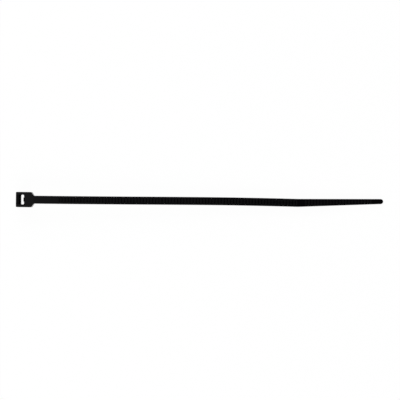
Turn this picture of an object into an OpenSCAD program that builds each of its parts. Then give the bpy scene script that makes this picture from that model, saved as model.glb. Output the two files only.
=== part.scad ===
// One-piece nylon cable tie, lying with its toothed face up.
// The head stands on its exit face, and the strap slopes down until the tail touches the same surface.
// Origin: on that surface, on the axis of the slot through the head. +X runs along the strap, +Z is up.

/* [Strap] */
// Length from the free end of the head to the tip of the tail
length = 118; // [90:1:200]
// Width of the strap
strap_w = 2.55; // [2.2:0.05:4]
// Thickness of the strap over its side rails
strap_t = 1; // [0.9:0.05:1.4]
// Chamfer along both edges of the smooth outer face
outer_chamfer = 0.2; // [0.05:0.05:0.3]
// Chamfer along both edges of the toothed face, which runs out along the tail
rail_chamfer = 0.1; // [0.05:0.05:0.15]

/* [Teeth] */
// Distance from one tooth to the next
tooth_pitch = 1; // [0.8:0.05:1.2]
// Height of a tooth from root to crest
tooth_h = 0.35; // [0.25:0.05:0.4]
// Flat on the crest of a tooth, and in the root beside it
tooth_land = 0.08; // [0.05:0.01:0.15]
// How far the steep side of a tooth leans over its height
tooth_rake = 0.05; // [0:0.01:0.1]
// How far the crests lie below the side rails
crest_drop = 0.05; // [0.02:0.01:0.1]
// Smooth rail on each side of the teeth
rail_w = 0.5; // [0.4:0.05:0.7]
// Smooth strap between the head and the first tooth
neck_l = 8; // [4:0.5:20]

/* [Tail] */
// Length of the narrowing tail
tail_l = 27.5; // [15:0.5:35]
// Width of the tail at its tip
tip_w = 1.6; // [1.2:0.1:2]
// Thickness of the tail at its tip
tip_t = 0.7; // [0.6:0.05:0.85]
// How far the tip lies to one side of the strap's axis
tail_set = 0.75; // [0:0.05:1]
// Distance from one grip rib to the next
rib_pitch = 1; // [0.7:0.1:2]
// Height of a grip rib
rib_h = 0.1; // [0.05:0.01:0.2]
// Width of a grip rib where it meets the tail
rib_w = 0.4; // [0.2:0.05:0.6]
// Smooth stretch at each end of the ribs
rib_margin = 2.5; // [1:0.5:5]
// How far the ribs stop short of the tail's edges
rib_inset = 0.2; // [0.15:0.05:0.4]

/* [Head] */
// Height of the head
head_h = 3.4; // [3.2:0.1:4.5]
// Wall beyond the slot, which guides the smooth side of the strap
end_wall = 1.35; // [1.2:0.05:2]
// Wall on each side of the slot
side_wall = 0.9; // [0.6:0.05:1.4]
// Solid stretch between the space behind the pawl and the shoulders
root_wall = 1.15; // [0.8:0.05:2]
// Length of the shoulders that narrow the head to the strap
shoulder_l = 0.85; // [0.5:0.05:1.5]
// Radius of the two corners at the free end, seen from above
corner_r = 0.4; // [0.1:0.05:0.8]
// Radius of the shoulders, seen from above
shoulder_r = 0.5; // [0.2:0.05:0.8]
// Radius of the edges round the entry and exit faces
edge_r = 0.25; // [0.1:0.05:0.4]
// How far the gusset under the strap reaches past the shoulders
gusset_l = 0.9; // [0.4:0.1:1.5]

/* [Slot] */
// Room for the strap's thickness, over the strap itself
slot_room = 0.3; // [0.15:0.05:0.4]
// Room on each side of the strap's width
slot_side_room = 0.275; // [0.1:0.025:0.4]
// Radius of the four corners of the slot, seen from above
slot_r = 0.3; // [0.1:0.05:0.4]
// Radius of the lead-in that guides the tail into the slot
guide_r = 0.9; // [0.5:0.05:1.1]

/* [Pawl] */
// Thickness of the pawl behind its teeth
pawl_t = 0.65; // [0.5:0.05:0.8]
// How far the pawl's teeth reach below the crests of the strap's teeth
pawl_bite = 0.2; // [0.15:0.05:0.3]
// Height of the pawl's own teeth
pawl_tooth_h = 0.28; // [0.2:0.02:0.34]
// Clearance between the pawl and each side rail
pawl_side_gap = 0.125; // [0.05:0.025:0.2]
// Clearance between the pawl and the head on each side
pawl_slit = 0.15; // [0.1:0.05:0.25]
// Space behind the pawl in which it bends away
flex_gap = 0.5; // [0.4:0.05:0.8]
// Depth of the hinge, where the pawl leaves the head, below the entry face
hinge_depth = 0.5; // [0.4:0.05:0.7]
// Thickness of the head over the space behind the pawl
hinge_t = 0.65; // [0.55:0.05:0.9]
// How far the pawl's tip stays inside the exit face
pawl_inset = 0.5; // [0.3:0.05:0.8]

/* [Hidden] */
// Steps along a rounded corner, and facets of a full circle.
arc_steps = 6;
round_fn = 64;
// How far a cut runs past the surface that it opens.
through = 1;

slot_w = strap_w + 2 * slot_side_room;
slot_t = strap_t + slot_room;
head_w = slot_w + 2 * side_wall;
channel_w = strap_w - 2 * rail_w;
pawl_w = channel_w - 2 * pawl_side_gap;

guide_x = -slot_t / 2;
land_x = slot_t / 2;
end_x = guide_x - end_wall;
pocket_x = land_x + pawl_t + flex_gap;
shoulder_x = pocket_x + root_wall;
neck_x = shoulder_x + shoulder_l;
gusset_x = neck_x + gusset_l;

strap_l = length - (neck_x - end_x);
body_l = strap_l - tail_l;
half_strap = strap_w / 2;
half_tip = tip_w / 2;
tip_centre = strap_l - half_tip;
crest_z = -crest_drop;
valley_z = crest_z - tooth_h;
tooth_count = floor((body_l - neck_l) / tooth_pitch);
teeth_end = neck_l + tooth_count * tooth_pitch;

// The slope at which the outer face reaches the resting surface, at its far end.
rest_l = strap_l - outer_chamfer;
droop = asin(head_h / norm([rest_l, strap_t])) - atan2(strap_t, rest_l);

// The pawl leans into the slot until its last crest leaves this gap to the guide wall.
pawl_gap = strap_t - crest_drop - pawl_bite;
pawl_reach = slot_t - pawl_gap;
pawl_l = head_h - hinge_depth - pawl_inset;
pawl_lean = asin(pawl_reach / norm([pawl_l, pawl_tooth_h])) - atan2(pawl_tooth_h, pawl_l);
pawl_teeth = floor(pawl_l / tooth_pitch);

// Height of the tail's ribbed face in the strap's frame, at x along the strap.
function tail_z(x) = (tip_t - strap_t) * (x - body_l) / tail_l;

function unit(v) = v / norm(v);
function turned(v, a) = [v.x * cos(a) - v.y * sin(a), v.x * sin(a) + v.y * cos(a)];

// The corner b of an outline a, b, c as an arc of radius r, or smaller where an edge is short.
function rounded_corner(a, b, c, r) =
    r == 0 ? [b] :
    let (
        u = unit(a - b),
        v = unit(c - b),
        half = acos(u * v) / 2,
        t = min(r / tan(half), 0.45 * norm(a - b), 0.45 * norm(c - b)),
        centre = b + unit(u + v) * t / cos(half),
        turn = sign(u.y * v.x - u.x * v.y) * (180 - 2 * half)
    )
    [for (k = [0:arc_steps]) centre + turned(b + u * t - centre, turn * k / arc_steps)];

// An outline of corners written as [x, y, radius].
function rounded(corners) =
    let (n = len(corners), p = [for (c = corners) [c[0], c[1]]])
    [for (i = [0:n - 1]) each rounded_corner(p[(i + n - 1) % n], p[i], p[(i + 1) % n], corners[i][2])];

// Stands an X-Z profile up and extrudes it across the tie, centred on the middle plane.
module across(w) rotate([90, 0, 0]) linear_extrude(w, center = true) children();

// Stands a Y-Z profile up and extrudes it along X, to the given share of its size at the far end.
module along(l, end_scale = 1) rotate([90, 0, 90]) linear_extrude(l, scale = end_scale) children();

// The strap's own frame: X down its slope, Z = 0 on its toothed face, X = 0 where it leaves the head.
module on_strap() translate([neck_x, 0, head_h]) rotate([0, droop, 0]) children();

module head_block() {
    half_head = head_w / 2;
    intersection() {
        translate([0, 0, -through])
            linear_extrude(head_h + 2 * through)
                polygon(rounded([
                    [end_x, -half_head, corner_r], [shoulder_x, -half_head, shoulder_r],
                    [neck_x, -half_strap, shoulder_r], [gusset_x, -half_strap, 0],
                    [gusset_x, half_strap, 0], [neck_x, half_strap, shoulder_r],
                    [shoulder_x, half_head, shoulder_r], [end_x, half_head, corner_r]
                ]));
        across(head_w + 2 * through)
            polygon(rounded([
                [end_x, 0, edge_r], [shoulder_x, 0, edge_r], [gusset_x, head_h - strap_t / 2, 0],
                [neck_x, head_h, 0], [end_x, head_h, edge_r]
            ]));
        translate([end_x - through, 0, 0])
            along(gusset_x - end_x + 2 * through)
                polygon(rounded([
                    [-half_head, 0, edge_r], [half_head, 0, edge_r],
                    [half_head, head_h, edge_r], [-half_head, head_h, edge_r]
                ]));
    }
}

// The slot for the strap, with the rounded lead-in in the wall that guides the strap's smooth side.
module strap_slot() {
    half_slot = slot_w / 2;
    translate([0, 0, -through])
        linear_extrude(head_h + 2 * through)
            polygon(rounded([
                [guide_x, -half_slot, slot_r], [land_x, -half_slot, slot_r],
                [land_x, half_slot, slot_r], [guide_x, half_slot, slot_r]
            ]));
    across(slot_w)
        translate([guide_x - guide_r, head_h - guide_r])
            difference() {
                square([guide_r + slot_t / 2, guide_r + through]);
                circle(guide_r, $fn = round_fn);
            }
}

// The space in which the pawl bends, open to the slot and to the exit face.
module pawl_pocket() {
    across(pawl_w + 2 * pawl_slit)
        polygon(rounded([
            [0, -through, 0], [pocket_x, -through, 0],
            [pocket_x, head_h - hinge_t, flex_gap / 2], [0, head_h - hinge_t, 0]
        ]));
}

// The pawl, drawn with X down its length from the hinge and its teeth towards -Y.
module pawl() {
    sunk = (hinge_t - hinge_depth) / 2;
    teeth = [for (i = [pawl_teeth - 1:-1:0]) let (crest = pawl_l - i * tooth_pitch) each [
        [crest - tooth_pitch + tooth_land, 0],
        [crest - tooth_land, -pawl_tooth_h],
        [crest, -pawl_tooth_h],
        [crest, 0]
    ]];
    across(pawl_w)
        translate([land_x, head_h - hinge_depth])
            rotate(-90 - pawl_lean)
                polygon(concat(
                    [[-sunk, pawl_t], [-sunk, 0]], teeth,
                    [[pawl_l, pawl_t / 2], [pawl_l - pawl_t / 2, pawl_t]]
                ));
}

// The strap's cross-section, with its toothed face at Y = 0.
module strap_section() {
    polygon([
        [rail_chamfer - half_strap, 0], [half_strap - rail_chamfer, 0],
        [half_strap, -rail_chamfer], [half_strap, outer_chamfer - strap_t],
        [half_strap - outer_chamfer, -strap_t], [outer_chamfer - half_strap, -strap_t],
        [-half_strap, outer_chamfer - strap_t], [-half_strap, -rail_chamfer]
    ]);
}

// The round end of the tail, cut to the tail's slope.
module tip() {
    intersection() {
        translate([tip_centre, tail_set, -strap_t]) {
            cylinder(outer_chamfer, half_tip - outer_chamfer, half_tip, $fn = round_fn);
            translate([0, 0, outer_chamfer]) cylinder(strap_t - outer_chamfer, r = half_tip, $fn = round_fn);
        }
        across(2 * strap_w)
            polygon([
                [body_l, -strap_t], [strap_l, -strap_t], [strap_l, tail_z(strap_l)], [body_l, 0]
            ]);
    }
}

// The tail narrows and thins from the strap's cross-section to its tip.
module tail() {
    hull() {
        translate([body_l, 0, -strap_t / 2])
            mirror([1, 0, 0])
                along(strap_t, 0) translate([0, strap_t / 2]) strap_section();
        tip();
    }
}

// What is cut from between the rails: each tooth has its steep side towards the head.
module tooth_gaps() {
    teeth = [for (i = [0:tooth_count - 1]) let (root = neck_l + i * tooth_pitch) each [
        [root, valley_z],
        [root + tooth_land, valley_z],
        [root + tooth_land + tooth_rake, crest_z],
        [root + 2 * tooth_land + tooth_rake, crest_z]
    ]];
    across(channel_w)
        polygon(concat([[neck_l, through]], teeth, [[teeth_end, valley_z], [teeth_end, through]]));
}

// Low ribs across the tail, which follow its thinning and stop short of its edges.
module grip_ribs() {
    first = body_l + rib_margin;
    last = tip_centre - rib_margin;
    half_first = half_strap - rib_inset;
    half_last = half_tip - rib_inset;
    intersection() {
        translate([0, 0, -strap_t]) linear_extrude(2 * strap_t)
            polygon([
                [body_l, -half_first], [tip_centre, tail_set - half_last],
                [tip_centre, tail_set + half_last], [body_l, half_first]
            ]);
        for (x = [first:rib_pitch:last])
            across(2 * strap_w)
                translate([x, tail_z(x)])
                    polygon([[-rib_w, -rib_h], [rib_w, -rib_h], [0, rib_h]]);
    }
}

module cable_tie() {
    color([0.09, 0.09, 0.095]) {
        difference() {
            union() {
                head_block();
                on_strap() along(body_l) strap_section();
                on_strap() tail();
            }
            strap_slot();
            pawl_pocket();
            on_strap() tooth_gaps();
        }
        pawl();
        on_strap() grip_ribs();
    }
}

cable_tie();
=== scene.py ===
# Looks for a black nylon cable tie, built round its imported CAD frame.
# Meshes are worked out in millimetres and scaled to metres once, when they become a piece.
import math

import bmesh
import bpy
from mathutils import Matrix, Vector


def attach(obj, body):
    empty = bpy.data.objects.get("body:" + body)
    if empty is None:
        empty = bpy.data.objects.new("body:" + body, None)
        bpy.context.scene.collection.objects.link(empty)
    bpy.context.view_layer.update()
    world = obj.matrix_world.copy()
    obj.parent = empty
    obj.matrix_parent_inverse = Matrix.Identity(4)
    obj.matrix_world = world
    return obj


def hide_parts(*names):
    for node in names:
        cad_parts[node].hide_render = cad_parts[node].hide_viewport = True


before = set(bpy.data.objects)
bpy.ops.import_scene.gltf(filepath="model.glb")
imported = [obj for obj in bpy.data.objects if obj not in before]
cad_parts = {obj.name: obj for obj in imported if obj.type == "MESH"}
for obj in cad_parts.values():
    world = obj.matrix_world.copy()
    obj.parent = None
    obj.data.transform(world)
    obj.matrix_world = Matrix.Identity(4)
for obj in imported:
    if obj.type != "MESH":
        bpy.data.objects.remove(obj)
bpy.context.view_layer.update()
mm = 0.001
scene = bpy.context.scene
print("frame: " + ", ".join(sorted(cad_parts)))


# The strap, in its own frame: X from the head to the tail, Z = 0 on the toothed face.
strap = {
    "neckX": 3.8, "rise": 3.4,                  # where it leaves the head
    "length": 112.2, "halfWidth": 1.275, "thick": 1.0,
    "endChamfer": 0.2,                          # of the solids' smooth face, which touches the surface there
    "outerRound": 0.3, "railRound": 0.16,       # edges of the smooth face and of the rails
    "seam": 0.012, "seamHalf": 0.03,            # the mould's parting line: how far it stands out, half its width
    "camber": 0.22, "camberSkew": 1.9,          # slight sideways bow, most past its middle
    "channel": 0.775,                           # half the width between the rails
    "skinFrom": 1.5,                            # where the lofted skin takes over from the head
    # The inner side of a rail: (across, share of the way down to the teeth).
    "railSide": ((-0.07, 0), (-0.03, 0.03), (-0.012, 0.15), (0.012, 0.85), (0.03, 0.97), (0.07, 1)),
}
teeth = {
    "first": 8.0, "count": 76, "pitch": 1.0,
    "crest": -0.05, "valley": -0.4, "land": 0.08, "rake": 0.05,
    "soft": 0.032, "endWall": 0.03,             # rounding of the corners, lean of the walls at both ends
}
tail = {
    "start": 84.7, "halfTip": 0.8, "setOver": 0.75, "thinning": 0.3, "edgeRound": 0.08,
    "ribPitch": 1.0, "ribHeight": 0.1, "ribHalf": 0.2, "ribMargin": 2.5, "ribInset": 0.2, "ribSoft": 0.07,
    "railEnd": (-1, 2),                         # where the rails make way for the ribs, from the start of the tail
    "tipSteps": 20,
}
tipCentre = strap["length"] - tail["halfTip"]

# The slope at which the smooth face comes down to the surface at its far end.
restLength = strap["length"] - strap["endChamfer"]
droop = math.asin(strap["rise"] / math.hypot(restLength, strap["thick"])) - math.atan2(strap["thick"], restLength)
toWorld = Matrix.Translation((strap["neckX"], 0, strap["rise"])) @ Matrix.Rotation(droop, 4, "Y")


def softened(corners, radius, steps=2, share=0.45):
    # An open polyline with each inner corner replaced by a short curve, which takes up to this share of a side.
    line = [corners[0]]
    for before, corner, after in zip(corners, corners[1:], corners[2:]):
        before, corner, after = Vector(before), Vector(corner), Vector(after)
        back, ahead = before - corner, after - corner
        cut = min(radius, share * back.length, share * ahead.length)
        start, end = corner + back.normalized() * cut, corner + ahead.normalized() * cut
        for i in range(steps + 1):
            t = i / steps
            line.append(tuple(start * (1 - t) ** 2 + corner * 2 * t * (1 - t) + end * t ** 2))
    line.append(corners[-1])
    return line


def floorLine():
    # Height of the face between the rails along the strap: teeth first, then the grip ribs of the tail.
    corners = [(strap["skinFrom"], 0), (teeth["first"], 0), (teeth["first"] + teeth["endWall"], teeth["valley"])]
    for i in range(teeth["count"]):
        root = teeth["first"] + i * teeth["pitch"]
        rise = root + teeth["land"] + teeth["rake"]
        corners += [
            (root + teeth["land"], teeth["valley"]), (rise, teeth["crest"]),
            (rise + teeth["land"], teeth["crest"]), (root + teeth["pitch"], teeth["valley"]),
        ]
    corners.append((corners[-1][0] + teeth["endWall"], 0))
    line = softened(corners + [(tail["start"], 0)], teeth["soft"])
    ribs = [(tail["start"], 0)]
    x = tail["start"] + tail["ribMargin"]
    while x <= tipCentre - tail["ribMargin"] + 1e-6:
        ribs += [(x - tail["ribHalf"], 0), (x, tail["ribHeight"]), (x + tail["ribHalf"], 0)]
        x += tail["ribPitch"]
    return line + softened(ribs + [(tipCentre, 0)], tail["ribSoft"], 3)[1:]


def easing(t):
    t = max(0, min(1, t))
    return t * t * (3 - 2 * t)


def halfSection(x, floor):
    # From the middle of the smooth face round one side to the middle of the toothed face: (inset from the edge, z).
    # The first and last points have no inset, because they lie on the middle line.
    along = max(0, x - tail["start"]) / (strap["length"] - tail["start"])
    top = -tail["thinning"] * along
    bottom = -strap["thick"]
    low, high = strap["outerRound"], strap["railRound"] + (tail["edgeRound"] - strap["railRound"]) * along
    points = [(None, bottom)]
    for i in range(5):
        a = math.radians(22.5 * i)
        points.append((low * (1 - math.sin(a)), bottom + low * (1 - math.cos(a))))
    middle = (bottom + low + top - high) / 2
    points += [(0, middle - strap["seamHalf"]), (-strap["seam"], middle), (0, middle + strap["seamHalf"])]
    for i in range(4):
        a = math.radians(30 * i)
        points.append((high * (1 - math.cos(a)), top - high * (1 - math.sin(a))))
    railInset = strap["halfWidth"] - strap["channel"]
    start, end = tail["railEnd"]
    wall = railInset + (tail["ribInset"] - railInset) * easing((x - tail["start"] - start) / (end - start))
    for across, share in strap["railSide"]:
        points.append((wall + across, top + floor * share))
    return points + [(None, top + floor)]


def outline(x):
    # Half the width and the middle line of the strap at x.
    t = max(0, min(1, (x - tail["start"]) / (tipCentre - tail["start"])))
    bow = strap["camber"] * math.sin(math.pi * max(0, min(1, x / tail["start"])) ** strap["camberSkew"])
    return strap["halfWidth"] + (tail["halfTip"] - strap["halfWidth"]) * t, tail["setOver"] * t + bow


def addRing(bm, x, floor):
    half, middle = outline(x)
    points = halfSection(x, floor)
    right = [bm.verts.new((x, middle if d is None else middle + half - d, z)) for d, z in points]
    left = [bm.verts.new((x, middle - half + d, z)) for d, z in points[1:-1]]
    return right + left[::-1]


def joinRings(bm, a, b):
    count = len(a)
    for i in range(count):
        j = (i + 1) % count
        bm.faces.new((a[i], b[i], b[j], a[j]))


def addStrap(bm):
    # Lofts the strap from the neck to the tail, then turns its half section round the end of the tail.
    first = ring = None
    for x, floor in floorLine():
        new = addRing(bm, x, floor)
        if ring:
            joinRings(bm, ring, new)
        first, ring = first or new, new
    points = halfSection(tipCentre, 0)
    side = ring[:len(points)]
    farSide = [ring[0]] + ring[:len(points) - 2:-1]
    radius, middle = tail["halfTip"] - strap["seam"], outline(tipCentre)[1]
    for i in range(1, tail["tipSteps"] + 1):
        turn = math.pi * i / tail["tipSteps"]
        if i == tail["tipSteps"]:
            new = farSide
        else:
            new = [side[0]]
            for d, z in points[1:-1]:
                x = tipCentre + (radius - d) * math.sin(turn)
                new.append(bm.verts.new((x, middle + (radius - d) * math.cos(turn), z)))
            new.append(side[-1])
        for j in range(len(points) - 1):
            corners = [side[j], new[j], new[j + 1], side[j + 1]]
            bm.faces.new([v for k, v in enumerate(corners) if v not in corners[:k]])
        side = new
    return first


head = {
    "cutFrom": 0.9,                             # how far along the strap the CAD head reaches
    "stub": (0.3, 2.3),                         # stretch of lofted strap that melts into it
    "skinTo": 1.4,                              # where the skin of the head ends
    "weld": 0.001,                              # points this close are one
    "grain": 0.045, "smoothing": 4, "relaxing": 0.5,    # size of the skin's cells, rounds of smoothing, their strength
    "keep": 0.45,                               # share of its triangles that stay
    "flatWeight": 90,                           # how strongly large faces rule the shading at their edges
}


def meshObject(name, bm):
    for face in bm.faces:
        face.smooth = True
    mesh = bpy.data.meshes.new(name)
    bm.to_mesh(mesh)
    bm.free()
    made = bpy.data.objects.new(name, mesh)
    scene.collection.objects.link(made)
    return made


def withModifiers(made):
    # The mesh as its modifiers leave it, as a new bmesh. The object itself goes.
    result = bmesh.new()
    result.from_object(made, bpy.context.evaluated_depsgraph_get())
    mesh = made.data
    bpy.data.objects.remove(made)
    bpy.data.meshes.remove(mesh)
    return result


def cutAcross(bm, x):
    # Takes away all that lies further along the strap than x.
    bmesh.ops.bisect_plane(bm, geom=bm.verts[:] + bm.edges[:] + bm.faces[:], dist=1e-6,
                           plane_co=(x, 0, 0), plane_no=(1, 0, 0), clear_outer=True)


def headSkin():
    # The CAD head and the start of the strap as one skin with soft moulded edges, in the strap's frame.
    bm = bmesh.new()
    bm.from_mesh(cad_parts["cable_tie"].data)
    bmesh.ops.transform(bm, matrix=toWorld.inverted() @ Matrix.Scale(1 / mm, 4), verts=bm.verts)
    bmesh.ops.remove_doubles(bm, verts=bm.verts, dist=head["weld"])
    cutAcross(bm, head["cutFrom"])
    bmesh.ops.holes_fill(bm, edges=[e for e in bm.edges if e.is_boundary])
    rings = [addRing(bm, x, 0) for x in head["stub"]]
    joinRings(bm, *rings)
    bm.faces.new(rings[0])
    bm.faces.new(rings[1][::-1])
    bmesh.ops.recalc_face_normals(bm, faces=bm.faces)
    skin = meshObject("headSkin", bm)
    melt = skin.modifiers.new("melt", "REMESH")
    melt.mode, melt.voxel_size = "VOXEL", head["grain"]
    relax = skin.modifiers.new("relax", "SMOOTH")
    relax.factor, relax.iterations = head["relaxing"], head["smoothing"]
    thin = skin.modifiers.new("thin", "DECIMATE")
    thin.ratio = head["keep"]
    bm = withModifiers(skin)
    cutAcross(bm, head["skinTo"])
    return bm


def turnAt(v):
    # Where a point of the strap's cross-section lies round its middle.
    return math.atan2(v.co.y, -(v.co.z + strap["thick"] / 2))


def zipLoops(bm, a, b):
    # Joins two loops round the strap, with different numbers of points, by a band of triangles.
    a, b = sorted(a, key=turnAt), sorted(b, key=turnAt)
    i = j = 0
    while i < len(a) or j < len(b):
        nextA = turnAt(a[i + 1]) if i + 1 < len(a) else math.inf
        nextB = turnAt(b[j + 1]) if j + 1 < len(b) else math.inf
        p, q = a[i % len(a)], b[j % len(b)]
        if j >= len(b) or (i < len(a) and nextA <= nextB):
            bm.faces.new((p, a[(i + 1) % len(a)], q))
            i += 1
        else:
            bm.faces.new((p, b[(j + 1) % len(b)], q))
            j += 1


bm = headSkin()
rim = {v for e in bm.edges if e.is_boundary for v in e.verts}
zipLoops(bm, rim, addStrap(bm))
bmesh.ops.recalc_face_normals(bm, faces=bm.faces)
print("tie: %d faces, %d open edges" % (len(bm.faces), sum(1 for e in bm.edges if not e.is_manifold)))
bmesh.ops.transform(bm, matrix=Matrix.Scale(mm, 4) @ toWorld, verts=bm.verts)
tie = meshObject("mouldedTie", bm)
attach(tie, "root")
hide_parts("cable_tie")
flats = tie.modifiers.new("flat faces", "WEIGHTED_NORMAL")
flats.mode, flats.weight = "FACE_AREA", head["flatWeight"]


# Shader nodes. Wire holds one output, so that shader maths reads as plain expressions.
class Wire:
    def __init__(self, board, socket):
        self.board, self.socket = board, socket

    def maths(self, operation, *values):
        return self.board.node("ShaderNodeMath", {"operation": operation}, dict(enumerate(values)))

    def __add__(self, other): return self.maths("ADD", self, other)
    def __radd__(self, other): return self.maths("ADD", other, self)
    def __sub__(self, other): return self.maths("SUBTRACT", self, other)
    def __rsub__(self, other): return self.maths("SUBTRACT", other, self)
    def __mul__(self, other): return self.maths("MULTIPLY", self, other)
    def __rmul__(self, other): return self.maths("MULTIPLY", other, self)


class Board:
    def __init__(self, tree):
        self.tree = tree

    def node(self, kind, settings=None, inputs=None, output=0):
        made = self.tree.nodes.new(kind)
        for name, value in (settings or {}).items():
            setattr(made, name, value)
        for name, value in (inputs or {}).items():
            if isinstance(value, Wire):
                self.tree.links.new(value.socket, made.inputs[name])
            else:
                made.inputs[name].default_value = value
        return Wire(self, made.outputs[output]) if len(made.outputs) else None


def freshBoard(holder):
    holder.use_nodes = True
    holder.node_tree.nodes.clear()
    return Board(holder.node_tree)


nylon = {
    "deep": (0.0010, 0.0007, 0.0013, 1), "pale": (0.0016, 0.0013, 0.0020, 1),
    "toneShares": (0.5, 0.3, 0.2),              # of streaks, clouds and specks in the colour
    "toneFrom": 0.35, "toneTo": 0.65,           # what counts as deep and as pale
    "roughness": 0.24, "roughnessSpread": 0.06,
    "wearShares": (0.4, 0.35, 0.25),            # of clouds, streaks and grain in the roughness
    "bumpShares": (0.7, 0.3),                   # of grain and specks in the bump
    "cloudSize": 2.6, "speckSize": 0.22,        # in mm, as all sizes here
    "grainSize": 0.06, "grainDepth": 0.0016,    # spark-eroded texture of the mould
    "flowLength": 9.0, "flowWidth": 0.5,        # streaks that the melt leaves along the strap
    "ior": 1.53, "specular": 0.32,
    "wallMiddle": (-0.62, 0.0, 1.65), "wallReach": (0.18, 1.8, 1.7),    # the dull back wall of the slot
    "wallRoughness": 0.8, "wallSpecular": 0.03,
}


def makeNylon():
    material = bpy.data.materials.new("blackNylon")
    board = freshBoard(material)
    place = board.node("ShaderNodeTexCoord", output="Object")
    inMm = board.node("ShaderNodeVectorMath", {"operation": "SCALE"}, {0: place, "Scale": 1 / mm})

    def noise(vector, size, detail, rough):
        return board.node("ShaderNodeTexNoise", {"noise_dimensions": "3D"},
                          {"Vector": vector, "Scale": 1 / size, "Detail": detail, "Roughness": rough})

    stretched = board.node("ShaderNodeVectorMath", {"operation": "MULTIPLY"},
                           {0: inMm, 1: (1 / nylon["flowLength"], 1 / nylon["flowWidth"], 1 / nylon["flowWidth"])})
    grain = noise(inMm, nylon["grainSize"], 3.0, 0.55)
    cloud = noise(inMm, nylon["cloudSize"], 2.0, 0.5)
    flow = noise(stretched, 1.0, 3.0, 0.55)
    speck = noise(inMm, nylon["speckSize"], 2.0, 0.6)

    def blend(shares, *patterns):
        return sum(pattern * share for share, pattern in zip(shares, patterns))

    tone = blend(nylon["toneShares"], flow, cloud, speck)
    shade = board.node("ShaderNodeMapRange", {"interpolation_type": "SMOOTHSTEP"},
                       {"Value": tone, "From Min": nylon["toneFrom"], "From Max": nylon["toneTo"]})
    colour = board.node("ShaderNodeMix", {"data_type": "RGBA"},
                        {"Factor": shade, "A": nylon["deep"], "B": nylon["pale"]}, output=2)
    wear = blend(nylon["wearShares"], cloud, flow, grain) - 0.5
    roughness = nylon["roughness"] + wear * (2 * nylon["roughnessSpread"])
    onWall = 1
    for axis, middle, reach in zip("XYZ", nylon["wallMiddle"], nylon["wallReach"]):
        along = board.node("ShaderNodeSeparateXYZ", None, {"Vector": inMm}, output=axis)
        onWall = onWall * along.maths("COMPARE", along, middle, reach)
    height = blend(nylon["bumpShares"], grain, speck)
    bump = board.node("ShaderNodeBump", None, {"Strength": 1.0, "Distance": nylon["grainDepth"] * mm, "Height": height})
    satin = board.node("ShaderNodeBsdfPrincipled", None, {
        "Base Color": colour, "Roughness": roughness, "Normal": bump,
        "IOR": nylon["ior"], "Specular IOR Level": nylon["specular"],
    })
    dull = board.node("ShaderNodeBsdfPrincipled", None, {
        "Base Color": colour, "Roughness": nylon["wallRoughness"], "Specular IOR Level": nylon["wallSpecular"],
    })
    surface = board.node("ShaderNodeMixShader", None, {0: onWall, 1: satin, 2: dull})
    board.node("ShaderNodeOutputMaterial", None, {"Surface": surface})
    return material


tie.data.materials.clear()
tie.data.materials.append(makeNylon())
print("nylon: grain, streaks and clouds")


studio = {
    "middleX": 0.057, "floorRadius": 2.4, "wallHeight": 0.4, "sweep": 0.3, "sides": 96, "sweepSteps": 12,
    "floorRings": (0.1, 0.4, 1.0),                      # shares of the radius
    "floor": (0.95, 0.95, 0.95, 1), "white": 0.97,      # how far the stage shows as plain white
    "dome": 0.005,
    # Name: place, aimed at, width, height, watts. The panels also show in the nylon, the softboxes don't.
    "lamps": {
        "headPanel": ((-0.14, 0.0, 0.6), (-0.14, 0, 0), 0.16, 0.4, 0.085),
        "strapPanel": ((-0.012, 0.0, 0.6), (-0.012, 0, 0), 0.1, 0.4, 0.026),
        "toothPanel": ((0.53, 0.0, 0.6), (0.03, 0, 0), 0.28, 0.4, 0.075),
        "sidePanel": ((0.05, -0.85, 0.6), (0.05, 0, 0), 1.7, 0.7, 1.9),
        "backPanel": ((0.05, 0.85, 0.6), (0.05, 0, 0), 1.7, 0.7, 1.9),
        "sideSoftbox": ((-0.1, -0.6, 0.26), (0.0, 0, 0), 0.9, 0.3, 6.2),
        "backSoftbox": ((-0.1, 0.6, 0.26), (0.0, 0, 0), 0.9, 0.3, 6.2),
    },
}


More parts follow.
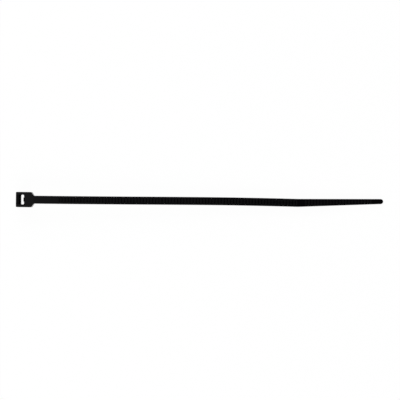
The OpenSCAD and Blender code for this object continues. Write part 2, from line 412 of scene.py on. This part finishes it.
def makeStage():
    # A round floor that sweeps up into a low wall, so that every side view ends in the same white.
    bm = bmesh.new()
    sweep = studio["sweep"]
    rim = [(studio["floorRadius"] * share, 0) for share in studio["floorRings"]]
    for i in range(1, studio["sweepSteps"] + 1):
        a = math.radians(90 * i / studio["sweepSteps"])
        rim.append((studio["floorRadius"] + sweep * math.sin(a), sweep * (1 - math.cos(a))))
    rim.append((studio["floorRadius"] + sweep, studio["wallHeight"]))
    rings = []
    for radius, z in rim:
        ring = []
        for k in range(studio["sides"]):
            a = 2 * math.pi * k / studio["sides"]
            ring.append(bm.verts.new((studio["middleX"] + radius * math.cos(a), radius * math.sin(a), z)))
        rings.append(ring)
    bm.faces.new(rings[0])
    for a, b in zip(rings, rings[1:]):
        joinRings(bm, a, b)
    bmesh.ops.recalc_face_normals(bm, faces=bm.faces)
    stage = meshObject("stage", bm)
    material = bpy.data.materials.new("paleStage")
    board = freshBoard(material)
    seen = sum(board.node("ShaderNodeLightPath", output=name)
               for name in ("Is Camera Ray", "Is Glossy Ray", "Is Transmission Ray"))
    matt = board.node("ShaderNodeBsdfDiffuse", None, {"Color": studio["floor"]})
    glow = board.node("ShaderNodeEmission", None, {"Color": (1, 1, 1, 1), "Strength": 1.0})
    surface = board.node("ShaderNodeMixShader", None, {0: seen * studio["white"], 1: matt, 2: glow})
    board.node("ShaderNodeOutputMaterial", None, {"Surface": surface})
    stage.data.materials.append(material)


def makeLamps():
    for name, (place, target, width, height, watts) in studio["lamps"].items():
        lamp = bpy.data.lights.new(name, "AREA")
        lamp.shape, lamp.size, lamp.size_y, lamp.energy = "RECTANGLE", width, height, watts
        holder = bpy.data.objects.new(name, lamp)
        holder.location = place
        holder.rotation_euler = (Vector(target) - Vector(place)).to_track_quat("-Z", "Y").to_euler()
        holder.visible_camera = False
        holder.visible_glossy = name.endswith("Panel")
        scene.collection.objects.link(holder)
    world = bpy.data.worlds.new("studioDome")
    scene.world = world
    board = freshBoard(world)
    grey = studio["dome"]
    dome = board.node("ShaderNodeBackground", None, {"Color": (grey, grey, grey, 1), "Strength": 1.0})
    board.node("ShaderNodeOutputWorld", None, {"Surface": dome})


makeStage()
makeLamps()
print("stage and lamps")


# Where the camera looks straight down, how high it stands, its turn in degrees, its lens and sensor in mm.
view = {"middle": (0.05696, 0.00055), "height": 0.42, "turn": 0.70, "lens": 117.2, "sensor": 36, "clip": (0.01, 10)}


def makeCamera():
    # Straight down, as the photograph was taken, with the head at the left.
    camera = bpy.data.cameras.new("camera")
    camera.lens, camera.sensor_width = view["lens"], view["sensor"]
    camera.clip_start, camera.clip_end = view["clip"]
    holder = bpy.data.objects.new("camera", camera)
    holder.location = (*view["middle"], view["height"])
    holder.rotation_euler = (0, 0, math.radians(view["turn"]))
    scene.collection.objects.link(holder)
    scene.camera = holder


makeCamera()
scene.view_settings.view_transform = "Standard"
